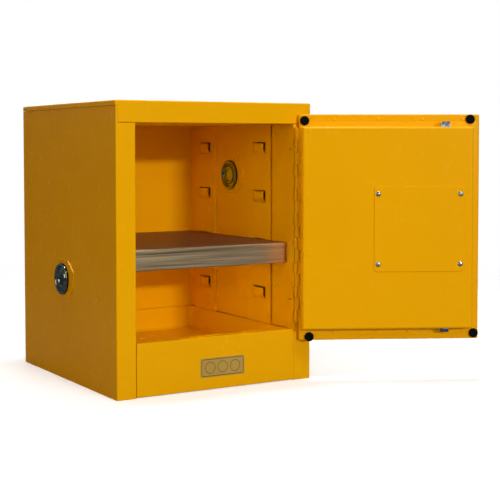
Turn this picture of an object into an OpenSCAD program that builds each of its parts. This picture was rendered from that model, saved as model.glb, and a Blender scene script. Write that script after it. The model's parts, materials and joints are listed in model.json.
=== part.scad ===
// Bench-top flammable storage cabinet.
// A double-wall steel case with one hinged door, a two-point latch, a shelf on lanced
// ledges, a leak-proof sump tray and two plugged vents on opposite sides.
// Origin: centre of the base's underside. X runs across, Y to the back and Z up.
// Distances named "depth" are measured back from the case's front face.

/* [Case] */
// Width over the two side panels
case_w = 441; // [436:1:460]
// Depth of the case without the door
case_d = 476; // [470:1:500]
// Height to the top of the cover
case_h = 568; // [560:1:580]
// Thickness of the steel sheet
sheet = 1.2; // [1:0.1:1.3]
// Distance from the outer skin to the inner skin
wall = 38; // [37:0.5:40]
// Width of the front stiles beside the opening
stile_w = 41.2; // [40.5:0.1:42]
// Height of the sill below the opening
sill_h = 105.5; // [104:0.5:108]
// Height of the header's lower edge
header_z = 525.8; // [525:0.1:528]
// How far the top cover stands out over the sides
cover_over = 1; // [0.5:0.5:2]

/* [Door] */
// Angle at which the door stands open
door_open = 153; // [0:1:160]
// Height of the door's outer pan
door_h = 462; // [460:1:464]
// Height of the outer pan's lower edge
door_z = 83; // [82:1:84]
// Width of the door's outer pan
door_w = 372; // [368:1:374]
// Radius of the round rubber bumpers
bumper_r = 9.5; // [8:0.5:10]

/* [Latch] */
// Height of the handle's spindle
handle_z = 314; // [310:1:318]
// Length of the turning handle
handle_len = 88; // [70:1:90]
// Radius at which the cam carries the two rods
cam_throw = 10; // [9:0.5:10.5]

/* [Shelf] */
// Number of the ledge that carries the shelf, from the bottom
shelf_level = 1; // [0:1:2]
// Height of the shelf's front lip
shelf_lip = 43; // [30:1:45]

/* [Vents] */
// Height of the vent on the left side
low_vent_z = 208; // [170:1:215]
// Height of the vent on the right side
high_vent_z = 417; // [400:1:430]
// Outer radius of the vent caps
vent_cap_r = 32.4; // [31:0.2:34]

/* [Hidden] */
$fn = 64;

yellow = [0.89, 0.65, 0.02];
steel = [0.62, 0.6, 0.57];
zinc = [0.72, 0.75, 0.78];
black = [0.05, 0.05, 0.05];

// Case
half_w = case_w / 2;
front = -case_d / 2;
back = case_d / 2;
bend_r = 2.5;
jamb_x = half_w - stile_w;
jamb_depth = 24;
liner_x = half_w - wall;
liner_back = back - wall;
cover_z = case_h - 10;
seam = 0.6;
header_inset = 4;
hem = 5.5;
tray_depth = 24.5;
tray_top = 102.5;
tray_floor = 51;
tray_fillet = 9;

// Shelf and its standards
standard_w = 93;
standard_t = 3;
standard_x = liner_x - standard_t;
front_standard_y = front + 132.5;
rear_standard_y = front + 367;
ledge_pitch = 102.5;
ledge_base_z = 179;
ledge_w = 46;
ledge_h = 23.5;
ledge_out = 5.5;
ledge_slit = 4;
shelf_z = ledge_base_z + shelf_level * ledge_pitch + sheet + 0.1;
shelf_half_w = standard_x - 0.6;
shelf_front = front + 27;
shelf_back = front + 426;
shelf_side = 12;

// Vents
vent_y = front + 254;
vent_boss = 2.5;
sleeve_r = 27;
sleeve_bore = 24.5;
cap_t = 6;
spigot_len = 9;

// Hinge
hinge_x = half_w - 39;
hinge_y = front - 7;
hinge_z0 = 121;
hinge_z1 = 517;
barrel_r = 3.2;
pin_r = 1.4;
knuckles = 16;
knuckle = (hinge_z1 - hinge_z0) / knuckles;
knuckle_gap = 0.25;

// Door, drawn closed: its pans run to the left of the hinge
door_right = hinge_x - 5;
door_left = door_right - door_w;
door_top = door_z + door_h;
skin_depth = -15;
flange_depth = -5;
face_depth = 20;
inner_right = hinge_x - 9;
inner_left = hinge_x - 359;
inner_z0 = 107.5;
inner_z1 = 519.7;
brim_left = door_left + 7;
brim_z0 = door_z + 10;
brim_z1 = door_top - 14;

// Latch
handle_x = hinge_x - 301.5;
cup_r = 50;
cup_floor = 2.5;
spindle_r = 6;
cam_pin_r = 2.5;
bolt_w = 19;
bolt_depth = [7.5, 17.5];
cam_depth = [5, 8.5];
upper_rod_depth = [9.3, 12.3];
lower_rod_depth = [13.3, 16.3];
pin_height = cam_throw * sin(45);
upper_bolt_top = header_z + 4.5;
lower_bolt_bottom = sill_h - 6;
bolt_len = 46;
plate_x = hinge_x - 247.6;
plate_z = 312;
plate_w = 185;
plate_h = 173;
plate_t = 2;

// ---------- helpers ----------

// A box between two corners, given as [low, high] on each axis
module slab(x, y, z) {
    translate([x[0], y[0], z[0]])
        cube([x[1] - x[0], y[1] - y[0], z[1] - z[0]]);
}

// Depths behind the front face, as Y
function deep(range) = [front + range[0], front + range[1]];

// A low and a high limit on either side of a place
function around(place, low, high) = [place + low, place + high];

// An XZ outline, extruded along Y
module along_y(y) {
    translate([0, y[1], 0])
        rotate([90, 0, 0])
            linear_extrude(y[1] - y[0])
                children();
}

// A YZ outline, extruded along X
module along_x(x) {
    translate([x[0], 0, 0])
        rotate([90, 0, 90])
            linear_extrude(x[1] - x[0])
                children();
}

module rod_y(r, y) {
    translate([0, y[0], 0])
        rotate([-90, 0, 0])
            cylinder(r = r, h = y[1] - y[0]);
}

module rod_x(r, x) {
    translate([x[0], 0, 0])
        rotate([0, 90, 0])
            cylinder(r = r, h = x[1] - x[0]);
}

// A rectangle with round corners, between two corners
module round_rect(a, b, r) {
    translate([a[0] + r, a[1]])
        square([b[0] - a[0] - 2 * r, b[1] - a[1]]);
    translate([a[0], a[1] + r])
        square([b[0] - a[0], b[1] - a[1] - 2 * r]);
    for (x = [a[0] + r, b[0] - r], y = [a[1] + r, b[1] - r])
        translate([x, y])
            circle(r);
}

// One quarter of a bent sheet's corner, seen end on
module quarter_bend(r, t) {
    intersection() {
        difference() {
            circle(r);
            circle(r - t);
        }
        square(r + 1);
    }
}

// Draws a right-hand part, or its mirror image on the left
module on_side(right) {
    mirror([right ? 0 : 1, 0, 0])
        children();
}

// Turns what is drawn closed to the angle at which the door stands open
module on_door() {
    translate([hinge_x, hinge_y, 0])
        rotate([0, 0, door_open])
            translate([-hinge_x, -hinge_y, 0])
                children();
}

// ---------- case ----------

// The outline of the pressed plate round a vent, along the depth and the height
module vent_outline(grow) {
    long_half = 54 + grow;
    short_half = 40 + grow;
    polygon([
        [long_half, 17], [26, short_half], [-26, short_half], [-long_half, 17],
        [-long_half, -17], [-26, -short_half], [26, -short_half], [long_half, -17]
    ]);
}

// Plan of a side panel: outer plate, front stile, jamb, and the flange at the back
module side_plan(stile) {
    translate([half_w - sheet, front + bend_r])
        square([sheet, case_d - bend_r]);
    translate([half_w - bend_r, front + bend_r])
        mirror([0, 1])
            quarter_bend(bend_r, sheet);
    translate([half_w - 16, back - 2 * sheet - 0.1])
        square([16, sheet]);
    if (stile) {
        translate([jamb_x, front])
            square([stile_w - bend_r, sheet]);
        translate([jamb_x, front])
            square([sheet, jamb_depth]);
        translate([jamb_x, front + jamb_depth - sheet])
            square([liner_x - jamb_x + sheet, sheet]);
    } else {
        translate([half_w - header_inset, front])
            square([header_inset - bend_r, sheet]);
    }
}

module side_panel(right, vent_z) {
    color(yellow)
        on_side(right)
            difference() {
                union() {
                    linear_extrude(header_z - seam)
                        side_plan(true);
                    translate([0, 0, header_z - seam])
                        linear_extrude(cover_z - seam - header_z + seam)
                            side_plan(false);
                    translate([0, vent_y, vent_z])
                        along_x([half_w - sheet, half_w + vent_boss])
                            vent_outline(0);
                }
                translate([0, vent_y, vent_z])
                    along_x([half_w - sheet - 1, half_w + vent_boss - sheet])
                        vent_outline(-sheet);
                translate([0, vent_y, vent_z])
                    rod_x(sleeve_r, [half_w - 10, half_w + 10]);
            }
}

module back_panel() {
    inner = half_w - sheet - 0.3;
    color(yellow)
        difference() {
            union() {
                slab([-inner, inner], [back - sheet, back], [0.8, cover_z - seam]);
                for (z = [130, 284, 438])
                    slab([-150, 150], [back, back + 1], [z - 9, z + 9]);
            }
            translate([150, 0, 60])
                rod_y(3.05, [back - 5, back + 5]);
        }
}

module base_pan() {
    x = half_w - sheet - 0.3;
    color(yellow)
        difference() {
            slab([-x, x], [front + sheet + 0.3, back - 2 * sheet - 0.5], [0, 14]);
            slab(
                [-x + sheet, x - sheet],
                [front + 2 * sheet + 0.3, back - 3 * sheet - 0.5],
                [sheet, 15]
            );
            slab([jamb_x - 1, half_w], [front, front + jamb_depth + 0.5], [-1, 15]);
            slab([-half_w, 1 - jamb_x], [front, front + jamb_depth + 0.5], [-1, 15]);
            slab([-jamb_x, jamb_x], [front, front + 13], [-1, 15]);
        }
}

// The cover's block, cut down by the given thickness on every side
module cover_block(cut) {
    x = half_w + cover_over - cut;
    r = bend_r + 0.5 - cut;
    top = case_h - cut;
    intersection() {
        along_y([front - 5, back + 10])
            round_rect([-x, 480], [x, top], r);
        along_x([-half_w - 10, half_w + 10])
            round_rect([front + cut, 480], [back + cover_over - cut, top], r);
        slab([-half_w - 10, half_w + 10], [front - 5, back + 10], [cover_z - cut, case_h]);
    }
}

module top_cover() {
    header_x = half_w - header_inset - 0.3;
    color(yellow) {
        difference() {
            cover_block(0);
            cover_block(sheet);
        }
        slab([-header_x, header_x], [front, front + sheet], [header_z, cover_z + 1]);
        slab([1.5 - jamb_x, jamb_x - 1.5], [front, front + hem],
            [header_z, header_z + sheet]);
    }
}

// The slot that a closed door's bolt drops into
module bolt_slot(z) {
    slab(around(handle_x, -bolt_w / 2 - 1.2, bolt_w / 2 + 1.2), deep(bolt_depth + [-0.9, 0.9]), z);
}

module sill_panel() {
    x = jamb_x - 0.4;
    r = 2;
    color(yellow)
        difference() {
            along_x([-x, x]) {
                translate([front, 1])
                    square([sheet, sill_h - 1 - r]);
                translate([front + r, sill_h - r])
                    mirror([1, 0])
                        quarter_bend(r, sheet);
                translate([front + r, sill_h - sheet])
                    square([jamb_depth - r, sheet]);
                translate([front, 1])
                    square([12, sheet]);
            }
            bolt_slot([sill_h - 3, sill_h + 1]);
        }
}

module inner_side_wall(right, vent_z) {
    color(yellow)
        on_side(right)
            difference() {
                union() {
                    slab(
                        [liner_x, liner_x + sheet],
                        [front + jamb_depth + 0.2, liner_back],
                        [tray_top + 0.8, header_z - 0.2]
                    );
                    translate([0, vent_y, vent_z])
                        along_x([liner_x - vent_boss, liner_x + sheet])
                            vent_outline(0);
                }
                translate([0, vent_y, vent_z])
                    along_x([liner_x - vent_boss + sheet, liner_x + sheet + 1])
                        vent_outline(-sheet);
                translate([0, vent_y, vent_z])
                    rod_x(sleeve_r, [liner_x - 10, liner_x + 10]);
            }
}

module inner_back_wall() {
    x = liner_x + sheet;
    color(yellow)
        slab([-x, x], [liner_back + 0.1, liner_back + sheet], [tray_top + 0.8, header_z - 0.2]);
}

module ceiling_liner() {
    x = liner_x + sheet;
    color(yellow)
        difference() {
            union() {
                slab([-x, x], [front + jamb_depth + 0.3, liner_back + sheet], [header_z, header_z + sheet]);
                slab([1 - jamb_x, jamb_x - 1], deep([hem + 0.2, jamb_depth + 1]),
                    [header_z, header_z + sheet]);
            }
            bolt_slot([header_z - 1, header_z + 3]);
        }
}

// The tray's block, with its lower edges rounded, cut down by the given thickness
module tray_block(cut) {
    x = liner_x + sheet - cut;
    low = tray_floor - sheet + cut;
    r = tray_fillet;
    intersection() {
        along_y([front, back])
            round_rect([-x, low], [x, tray_top + 30], r);
        along_x([-half_w, half_w])
            round_rect([front + tray_depth + cut, low], [liner_back + sheet - cut, tray_top + 30], r);
        slab([-half_w, half_w], [front, back], [0, tray_top + (cut > 0 ? 5 : 0)]);
    }
}

module sump_tray() {
    color(yellow)
        difference() {
            tray_block(0);
            tray_block(sheet);
        }
}

// A raised strip on an inner wall, lanced with ledges that a shelf hangs on
module standard(right, y) {
    near = y - standard_w / 2;
    far = y + standard_w / 2;
    z0 = tray_top + 1;
    z1 = header_z - 0.5;
    color(yellow)
        on_side(right) {
            difference() {
                slab([standard_x, liner_x], [near, far], [z0, z1]);
                slab([standard_x + sheet, liner_x + 1], [near + sheet, far - sheet], [z0 - 1, z1 + 1]);
                for (level = [0:3])
                    slab(
                        [standard_x - 1, standard_x + sheet + 1],
                        [y - ledge_w / 2 - ledge_slit, y + ledge_w / 2],
                        around(ledge_base_z + level * ledge_pitch, -ledge_h, 2.5)
                    );
            }
            for (level = [0:3])
                translate([0, 0, ledge_base_z + level * ledge_pitch])
                    ledge(y);
        }
}

// One ledge: it leans in from its foot, then stands clear of the strip
module ledge(y) {
    x = standard_x;
    along_y([y - ledge_w / 2, y + ledge_w / 2])
        polygon([
            [x + sheet, -ledge_h], [x + sheet, 0.5 - ledge_h], [x + sheet - ledge_out, 8 - ledge_h],
            [x + sheet - ledge_out, 0], [x - ledge_out, 0], [x - ledge_out, 7.5 - ledge_h],
            [x, -ledge_h]
        ]);
}

// ---------- shelf ----------

module shelf_block(cut) {
    x = shelf_half_w - cut;
    r = 4 - cut;
    top = shelf_z - cut;
    intersection() {
        along_y([shelf_front - 1, shelf_back + 1])
            round_rect([-x, shelf_z - 90], [x, top], r);
        along_x([-half_w, half_w])
            round_rect([shelf_front + cut, shelf_z - 90], [shelf_back - cut, top], r);
    }
}

module shelf() {
    color(steel)
        intersection() {
            difference() {
                shelf_block(0);
                shelf_block(sheet);
            }
            union() {
                slab([-half_w, half_w], [front, back], [shelf_z - shelf_side, shelf_z + 1]);
                slab(
                    [-half_w, half_w],
                    [shelf_front - 1, shelf_front + sheet + 0.01],
                    [shelf_z - shelf_lip, shelf_z + 1]
                );
            }
        }
}

// ---------- small parts of the case ----------

module sill_label() {
    color([0.8, 0.6, 0.4])
        along_y([front - 0.4, front - 0.05])
            round_rect([-40, 25], [61, 63.5], 5);
}

module ground_stud() {
    color([0.8, 0.65, 0.3])
        translate([150, 0, 60]) {
            rod_y(3, [back - 6, back + 16]);
            rotate([90, 0, 0])
                translate([0, 0, 6 - back])
                    cylinder(r = 5.8, h = 3.5, $fn = 6);
        }
}

module ground_nuts() {
    color([0.8, 0.65, 0.3])
        translate([150, 0, 60])
            for (y = [back + 0.1, back + 6])
                difference() {
                    union() {
                        rod_y(7, [y, y + 1]);
                        translate([0, y + 4.5, 0])
                            rotate([90, 0, 0])
                                cylinder(r = 5.8, h = 3.5, $fn = 6);
                    }
                    rod_y(3.05, [back - 1, back + 20]);
                }
}

// ---------- vents ----------

module vent_sleeve(right, vent_z) {
    color(zinc)
        on_side(right)
            translate([0, vent_y, vent_z])
                difference() {
                    rod_x(sleeve_r - 0.1, [liner_x - vent_boss, half_w + vent_boss]);
                    rod_x(sleeve_bore, [liner_x - 10, half_w + 10]);
                }
}

// A dished screw cap with a short spigot, closing one end of a sleeve
module vent_cap(right, vent_z, outside) {
    seat = outside ? half_w + vent_boss + 0.1 : liner_x - vent_boss - 0.1;
    color(zinc)
        on_side(right)
            translate([seat, vent_y, vent_z])
                rotate([0, outside ? 90 : -90, 0])
                    union() {
                        rotate_extrude()
                            difference() {
                                union() {
                                    square([vent_cap_r, cap_t - 2]);
                                    translate([0, 1])
                                        square([vent_cap_r - 2, cap_t - 1]);
                                    translate([vent_cap_r - 2, cap_t - 2])
                                        circle(2);
                                }
                                translate([0, cap_t - 1])
                                    square([vent_cap_r - 5, 5]);
                            }
                        translate([0, 0, -spigot_len])
                            cylinder(r = sleeve_bore - 0.1, h = spigot_len);
                    }
}

module flame_screen(right, vent_z) {
    middle = (liner_x + half_w) / 2;
    color(steel)
        on_side(right)
            translate([0, vent_y, vent_z])
                difference() {
                    rod_x(sleeve_bore - 0.1, [middle - 0.8, middle + 0.8]);
                    for (ring = [0:3], step = [0:max(0, 6 * ring - 1)])
                        rotate([step * 60 / max(ring, 1), 0, 0])
                            translate([0, 0, ring * 6.5])
                                rod_x(2, [middle - 2, middle + 2]);
                }
}

// ---------- hinge ----------

// The barrel's own knuckles, every second one, from the given first one
module barrel(first) {
    for (i = [first:2:knuckles - 1])
        translate([hinge_x, hinge_y, hinge_z0 + i * knuckle + knuckle_gap])
            cylinder(r = barrel_r, h = knuckle - 2 * knuckle_gap);
}

module pin_bore() {
    translate([hinge_x, hinge_y, hinge_z0 - 1])
        cylinder(r = pin_r + 0.05, h = hinge_z1 - hinge_z0 + 2);
}

module hinge_frame_leaf() {
    x = [jamb_x - sheet - 0.05, jamb_x - 0.05];
    color(yellow)
        difference() {
            union() {
                barrel(0);
                slab(x, deep([-3.3, 22]), [hinge_z0, hinge_z1]);
                for (i = [0:2:knuckles - 1])
                    slab(x, deep([-7, -3]),
                        around(hinge_z0 + i * knuckle, knuckle_gap, knuckle - knuckle_gap));
            }
            pin_bore();
            hinge_frame_holes();
        }
}

module hinge_frame_holes() {
    for (z = [166, 474])
        translate([0, front + 11, z])
            rod_x(2.6, [jamb_x - 5, jamb_x]);
}

module hinge_frame_rivets() {
    color(zinc)
        for (z = [166, 474])
            translate([0, front + 11, z])
                rod_x(2.5, [jamb_x - 0.05 - sheet, jamb_x - 0.1]);
}

module hinge_pin() {
    color(zinc)
        translate([hinge_x, hinge_y, 0]) {
            translate([0, 0, hinge_z0 - 1])
                cylinder(r = pin_r, h = hinge_z1 - hinge_z0 + 2);
            for (z = [hinge_z0 - 2, hinge_z1 + 0.2])
                translate([0, 0, z])
                    cylinder(r = 2.2, h = 1.8);
        }
}

module hinge_door_leaf() {
    strip_right = jamb_x - sheet - 0.6;
    color(yellow)
        on_door()
            difference() {
                union() {
                    barrel(1);
                    slab([inner_right, strip_right], deep([flange_depth, flange_depth + sheet]),
                        [hinge_z0, hinge_z1]);
                    slab([inner_right, inner_right + sheet], deep([flange_depth, 15]),
                        [hinge_z0, hinge_z1]);
                    for (i = [1:2:knuckles - 1])
                        slab([inner_right, hinge_x], deep([flange_depth, flange_depth + sheet]),
                            around(hinge_z0 + i * knuckle, knuckle_gap, knuckle - knuckle_gap));
                }
                pin_bore();
                for (z = [166, 268, 370, 472])
                    translate([0, front + 7, z])
                        rod_x(2.05, [inner_right - 1, inner_right + 5]);
            }
}

module hinge_door_rivets() {
    color(zinc)
        on_door()
            for (z = [166, 268, 370, 472])
                translate([0, front + 7, z]) {
                    rod_x(2, [inner_right - 3.5, inner_right + sheet]);
                    rod_x(3.6, [inner_right + sheet, inner_right + sheet + 0.9]);
                }
}

// ---------- door ----------

module door_outer_pan() {
    window = [door_left + 22, door_right - 15];
    color(yellow)
        on_door()
            difference() {
                intersection() {
                    along_y(deep([skin_depth, flange_depth]))
                        round_rect([door_left, door_z], [door_right, door_top], 2);
                    along_x([door_left, door_right])
                        round_rect([front + skin_depth, door_z], [front + flange_depth + 5, door_top], 2);
                    linear_extrude(door_top + 10)
                        round_rect([door_left, front + skin_depth],
                            [door_right, front + flange_depth + 5], 2);
                }
                slab(
                    [door_left + sheet, door_right - sheet],
                    deep([skin_depth + sheet, flange_depth - sheet]),
                    [door_z + sheet, door_top - sheet]
                );
                slab(window, deep([flange_depth - 3, flange_depth + 1]),
                    [door_z + 22, door_top - 22]);
                translate([handle_x, 0, handle_z])
                    rod_y(cup_r + 0.1, deep([skin_depth - 1, skin_depth + 3]));
                translate([handle_x, 0, handle_z])
                    rod_y(cup_r + 0.5, deep([skin_depth + 3, flange_depth + 1]));
            }
}

// The inner pan's block, rounded at its face, cut down by the given thickness
module inner_pan_block(cut) {
    r = 4 - cut;
    x = [inner_left + cut, inner_right - cut];
    z = [inner_z0 + cut, inner_z1 - cut];
    face = front + face_depth - cut;
    intersection() {
        linear_extrude(case_h)
            round_rect([x[0], front - 40], [x[1], face], r);
        along_x([door_left, door_right])
            round_rect([front - 40, z[0]], [face, z[1]], r);
        along_y([front + flange_depth - cut, front + face_depth])
            round_rect([x[0], z[0]], [x[1], z[1]], r);
    }
}

module door_inner_pan() {
    color(yellow)
        on_door()
            difference() {
                union() {
                    inner_pan_block(0);
                    slab([brim_left, inner_right - 10], deep([flange_depth, flange_depth + sheet]),
                        [brim_z0, brim_z1]);
                }
                inner_pan_block(sheet);
                slab([plate_x - 75, plate_x + 75], deep([face_depth - 3, face_depth + 1]),
                    [plate_z - 69, plate_z + 69]);
                cover_screw_places()
                    rod_y(2.1, deep([face_depth - 3, face_depth + 1]));
                for (z = [inner_z0, inner_z1])
                    slab(around(handle_x, -bolt_w / 2 - 0.6, bolt_w / 2 + 0.6),
                        deep(bolt_depth + [-0.6, 0.6]), around(z, -3, 3));
                for (z = [166, 268, 370, 472])
                    translate([0, front + 7, z])
                        rod_x(2.05, [inner_right - 3, inner_right + 5]);
            }
}

// Heads of the painted rivets along the door's flange and down its hinge edge
module door_rivets() {
    color(yellow)
        on_door() {
            for (x = [77, 168, 259, 342])
                translate([hinge_x - x, 0, door_top - 10])
                    rivet_head(deep([flange_depth, -3.6]));
            for (x = [77, 168, 231, 346])
                translate([hinge_x - x, 0, brim_z0 + 6])
                    rivet_head(deep([flange_depth + sheet, -2.4]));
            for (z = [118, 261, 366, 510])
                translate([inner_right - 14, 0, z])
                    rivet_head(deep([face_depth, face_depth + 0.9]));
        }
}

module rivet_head(y) {
    translate([0, y[1], 0])
        rotate([90, 0, 0])
            rotate_extrude()
                intersection() {
                    union() {
                        square([3, y[1] - y[0]]);
                        translate([3, 0.7])
                            square([0.6, y[1] - y[0] - 0.7]);
                        translate([3, 0.6])
                            circle(0.6);
                    }
                    square([10, y[1] - y[0]]);
                }
}

// Rubber bumpers, one at each corner of the flange
module door_bumpers() {
    color(black)
        on_door()
            for (place = [[16, 532], [357, 535], [26, 90.5], [367, 95]])
                translate([hinge_x - place[0], front + flange_depth + sheet + 0.05, place[1]])
                    rotate([-90, 0, 0])
                        rotate_extrude() {
                            square([bumper_r, 2.4]);
                            square([bumper_r - 1, 3.4]);
                            translate([bumper_r - 1, 2.4])
                                circle(1);
                        }
}

// ---------- latch ----------

module cover_screw_places() {
    for (x = [-1, 1], z = [-1, 1])
        translate([plate_x + x * (plate_w / 2 - 8), 0, plate_z + z * (plate_h / 2 - 15)])
            children();
}

module latch_cover_plate() {
    color(yellow)
        on_door()
            difference() {
                along_y(deep([face_depth + 0.02, face_depth + plate_t]))
                    round_rect([plate_x - plate_w / 2, plate_z - plate_h / 2],
                        [plate_x + plate_w / 2, plate_z + plate_h / 2], 6);
                cover_screw_places()
                    rod_y(2.1, deep([face_depth - 3, face_depth + 5]));
            }
}

module cover_plate_screws() {
    head = face_depth + plate_t;
    color(zinc)
        on_door()
            cover_screw_places()
                difference() {
                    union() {
                        rod_y(2, deep([face_depth - 5, head + 0.1]));
                        rod_y(5.3, deep([head + 0.02, head + 1.6]));
                        rod_y(4.5, deep([head + 1, head + 2.2]));
                    }
                    for (turn = [20, 110])
                        rotate([0, turn, 0])
                            slab([-2.6, 2.6], deep([head + 1, head + 3]), [-0.5, 0.5]);
                }
}

// The round dish in the door's outer skin that the handle turns in
module handle_cup() {
    color(black)
        on_door()
            translate([handle_x, 0, handle_z])
                difference() {
                    union() {
                        rod_y(cup_r, deep([skin_depth - 1.5, cup_floor + 1.5]));
                        rod_y(cup_r + 8, deep([skin_depth - 1.5, skin_depth - 0.02]));
                    }
                    rod_y(cup_r - 1.5, deep([skin_depth - 3, cup_floor]));
                    rod_y(spindle_r + 0.05, deep([cup_floor - 1, cup_floor + 3]));
                }
}

module turn_handle() {
    grip_r = 9;
    end = handle_len / 2 - grip_r;
    color(black)
        on_door()
            translate([handle_x, 0, handle_z])
                difference() {
                    union() {
                        along_y(deep([-14, -7])) {
                            translate([-grip_r, -end])
                                square([2 * grip_r, 2 * end]);
                            for (z = [-end, end])
                                translate([0, z])
                                    circle(grip_r);
                        }
                        rod_y(17, deep([-14.5, -4]));
                    }
                    rod_y(10, deep([-20, -8]));
                    rod_y(spindle_r, deep([-9, 0]));
                }
}

module handle_spindle() {
    color(zinc)
        on_door()
            translate([handle_x, 0, handle_z])
                rod_y(spindle_r, deep([-8, cam_depth[1]]));
}

module lock_cylinder() {
    color(zinc)
        on_door()
            translate([handle_x, 0, handle_z])
                difference() {
                    rod_y(9.95, deep([-15.2, -8.05]));
                    slab([-0.7, 0.7], deep([-16, -12]), [-4.5, 4]);
                    rod_y(1.8, deep([-16, -14]));
                }
}

module latch_cam() {
    color(zinc)
        on_door()
            translate([handle_x, 0, handle_z])
                difference() {
                    union() {
                        rod_y(15, deep(cam_depth));
                        translate([pin_height, 0, pin_height])
                            rod_y(cam_pin_r, deep([cam_depth[0], upper_rod_depth[1] + 0.5]));
                        translate([-pin_height, 0, -pin_height])
                            rod_y(cam_pin_r, deep([cam_depth[0], lower_rod_depth[1] + 0.7]));
                    }
                    rod_y(spindle_r, deep([0, cam_depth[1] + 0.001]));
                }
}

// A flat rod with a yoke at its lower end, whose slot takes a pin of the cam
module latch_rod(depth, length) {
    slot_half = cam_pin_r + 0.45;
    difference() {
        union() {
            slab([-2, 16], deep(depth), [-7, 7]);
            slab([-4, 4], deep(depth), [7, length]);
        }
        slab([3.9, 13.6], deep([0, 30]), [-slot_half, slot_half]);
    }
}

module upper_rod() {
    z = handle_z + pin_height;
    color(zinc)
        on_door()
            translate([handle_x, 0, z])
                latch_rod(upper_rod_depth, upper_bolt_top - bolt_len - z);
}

module lower_rod() {
    z = handle_z - pin_height;
    color(zinc)
        on_door()
            translate([handle_x, 0, z])
                mirror([1, 0, 0])
                    mirror([0, 0, 1])
                        latch_rod(lower_rod_depth, z - bolt_len - lower_bolt_bottom);
}

// A latch bolt, point up: its cabinet side and its hinge side are bevelled at the point
module latch_bolt() {
    low = -bolt_len;
    half = bolt_w / 2;
    near = front + bolt_depth[0];
    far = front + bolt_depth[1];
    intersection() {
        along_x([-half, half])
            polygon([[near, low], [far, low], [far, -7], [far - 6, 0], [near, 0]]);
        along_y([near, far])
            polygon([[-half, low], [half, low], [half, -6], [half - 3.5, 0], [-half, 0]]);
    }
}

module upper_bolt() {
    color(zinc)
        on_door()
            translate([handle_x, 0, upper_bolt_top])
                latch_bolt();
}

module lower_bolt() {
    color(zinc)
        on_door()
            translate([handle_x, 0, lower_bolt_bottom])
                mirror([0, 0, 1])
                    latch_bolt();
}

// Blocks on the inside of the inner pan that keep the rods in line
module rod_guides() {
    color(zinc)
        on_door() {
            rod_guide(440, upper_rod_depth);
            rod_guide(188, lower_rod_depth);
        }
}

module rod_guide(z, depth) {
    difference() {
        slab(around(handle_x, -9, 9), deep([8, face_depth - sheet - 0.02]), around(z, -7, 7));
        slab(around(handle_x, -4.3, 4.3), deep(depth + [-0.3, 0.3]), around(z, -8, 8));
    }
}

// ---------- nodes ----------

side_panel(false, low_vent_z);  // left_side_panel
side_panel(true, high_vent_z);  // right_side_panel
back_panel();
base_pan();
top_cover();
sill_panel();
inner_side_wall(false, low_vent_z);  // inner_left_wall
inner_side_wall(true, high_vent_z);  // inner_right_wall
inner_back_wall();
ceiling_liner();
sump_tray();
standard(false, front_standard_y);  // left_front_standard
standard(false, rear_standard_y);  // left_rear_standard
standard(true, front_standard_y);  // right_front_standard
standard(true, rear_standard_y);  // right_rear_standard
shelf();
sill_label();
ground_stud();
ground_nuts();
vent_sleeve(false, low_vent_z);  // left_vent_sleeve
vent_cap(false, low_vent_z, true);  // left_vent_outer_cap
vent_cap(false, low_vent_z, false);  // left_vent_inner_cap
flame_screen(false, low_vent_z);  // left_flame_screen
vent_sleeve(true, high_vent_z);  // right_vent_sleeve
vent_cap(true, high_vent_z, true);  // right_vent_outer_cap
vent_cap(true, high_vent_z, false);  // right_vent_inner_cap
flame_screen(true, high_vent_z);  // right_flame_screen
hinge_frame_leaf();
hinge_pin();
hinge_frame_rivets();
hinge_door_leaf();
hinge_door_rivets();
door_outer_pan();
door_inner_pan();
door_rivets();
door_bumpers();
latch_cover_plate();
cover_plate_screws();
handle_cup();
turn_handle();
handle_spindle();
lock_cylinder();
latch_cam();
upper_rod();
lower_rod();
upper_bolt();
lower_bolt();
rod_guides();
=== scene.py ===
"""The looks of a bench-top flammable storage cabinet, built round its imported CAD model.

Lengths are in millimetres, and each mesh is scaled to metres once, when it is made. The frame's
origin is the centre of the case's underside, with X across, Y to the back and Z up. A "depth"
is counted back from the case's front face. Door pieces are drawn closed and then turned to
where the door stands open.
"""

import json
import math

import bmesh
import bpy
from mathutils import Matrix, Vector


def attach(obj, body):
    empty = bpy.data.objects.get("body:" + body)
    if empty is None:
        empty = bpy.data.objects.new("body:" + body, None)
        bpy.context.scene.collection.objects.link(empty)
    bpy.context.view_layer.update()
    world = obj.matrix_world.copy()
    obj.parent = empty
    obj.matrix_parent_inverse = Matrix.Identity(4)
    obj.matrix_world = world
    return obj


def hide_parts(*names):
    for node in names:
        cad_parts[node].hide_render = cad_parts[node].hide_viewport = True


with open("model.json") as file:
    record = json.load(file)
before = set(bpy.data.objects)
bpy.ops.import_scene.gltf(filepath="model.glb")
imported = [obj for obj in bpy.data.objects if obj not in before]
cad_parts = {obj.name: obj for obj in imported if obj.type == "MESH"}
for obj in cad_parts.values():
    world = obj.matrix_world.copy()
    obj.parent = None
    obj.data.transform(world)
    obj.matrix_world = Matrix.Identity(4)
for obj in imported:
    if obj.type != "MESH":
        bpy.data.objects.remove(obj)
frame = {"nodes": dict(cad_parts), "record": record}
NODES = frame["nodes"]
SLOT_OF = {entry["node"]: entry["material_slot"] for entry in frame["record"]["subparts"]}
BODY_OF = {
    node: body
    for body, nodes in frame["record"]["behaviour"]["bodies"].items()
    for node in nodes
}
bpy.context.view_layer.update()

MM = 0.001

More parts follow.
